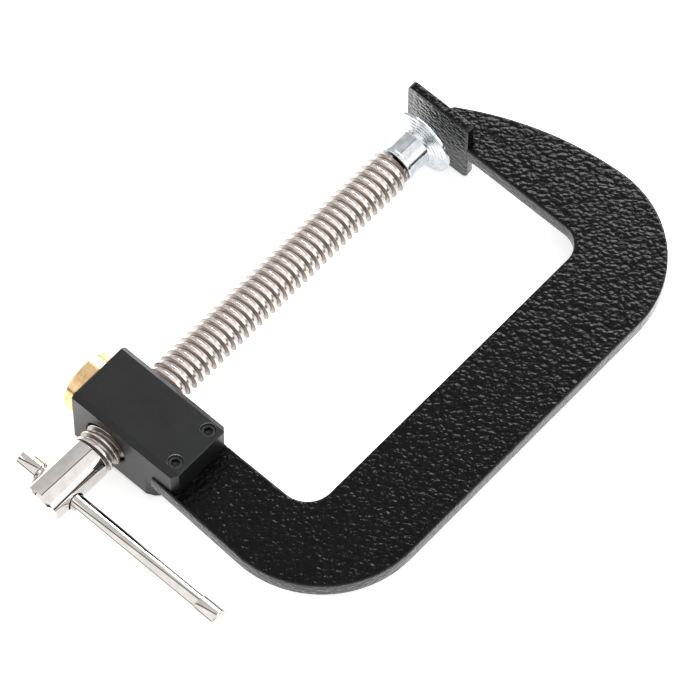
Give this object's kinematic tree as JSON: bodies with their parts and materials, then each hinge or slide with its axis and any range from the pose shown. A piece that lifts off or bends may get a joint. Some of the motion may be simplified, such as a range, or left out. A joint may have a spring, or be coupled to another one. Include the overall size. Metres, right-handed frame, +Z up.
{
  "type": "c clamp",
  "caption": "Quick-adjusting C clamp: flat steel frame, nut block with brass release button, long threaded spindle, sliding handle bar and swivel pad.",
  "frame": {"origin": "centre of the fixed jaw's clamping face, on the spindle's axis", "axes": "+Y along the spindle towards the fixed jaw, +X from the spindle to the frame's spine, +Z up with the clamp lying flat"},
  "size_m": [0.1107, 0.1997, 0.028],
  "materials": {
    "frame_coat": "black hammered powder coat",
    "block_anodised": "black anodised, satin",
    "brass_button": "turned brass",
    "spindle_steel": "rolled thread, lightly oiled",
    "polished_bar": "polished",
    "zinc_pad": "turned, bright zinc",
    "black_screw": "black oxide",
    "spring_wire": "drawn wire"
  },
  "bodies": {
    "frame": {"frame_plate": "frame_coat", "fixed_jaw": "frame_coat", "jaw_welds": "frame_coat", "nut_block": "block_anodised", "frame_screws": "black_screw", "button_spring": "spring_wire"},
    "button": {"release_button": "brass_button"},
    "stud": {"ball_stud": "spindle_steel"},
    "screw": {"spindle": "spindle_steel"},
    "pad": {"swivel_pad": "zinc_pad"},
    "handle": {"tommy_bar": "polished_bar", "bar_cap_near": "polished_bar", "bar_cap_far": "polished_bar"}
  },
  "joints": [
    {"name": "button_press", "type": "slide", "parent": "frame", "child": "button", "axis": [1, 0, 0], "range_m": [0, 0.0022], "stiffness_N_per_m": 1500, "springref_m": -0.003, "deforming": ["button_spring"]},
    {"name": "screw_feed", "type": "slide", "parent": "frame", "child": "stud", "axis": [0, 1, 0], "range_m": [-0.1041, 0.00385]},
    {"name": "screw_turn", "type": "hinge", "parent": "stud", "child": "screw", "pos_m": [0, -0.0184, 0], "axis": [0, 1, 0], "range_deg": [-13090, 478]},
    {"name": "pad_tilt", "type": "hinge", "parent": "stud", "child": "pad", "pos_m": [0, -0.0128, 0], "axis": [1, 0, 0], "range_deg": [-5, 5]},
    {"name": "bar_slide", "type": "slide", "parent": "screw", "child": "handle", "axis": [1, 0, 0], "range_m": [-0.0489, 0]}
  ],
  "couplings": [
    {"joint": "screw_feed", "follows": "screw_turn", "m_per_rad": 0.00045518}
  ]
}
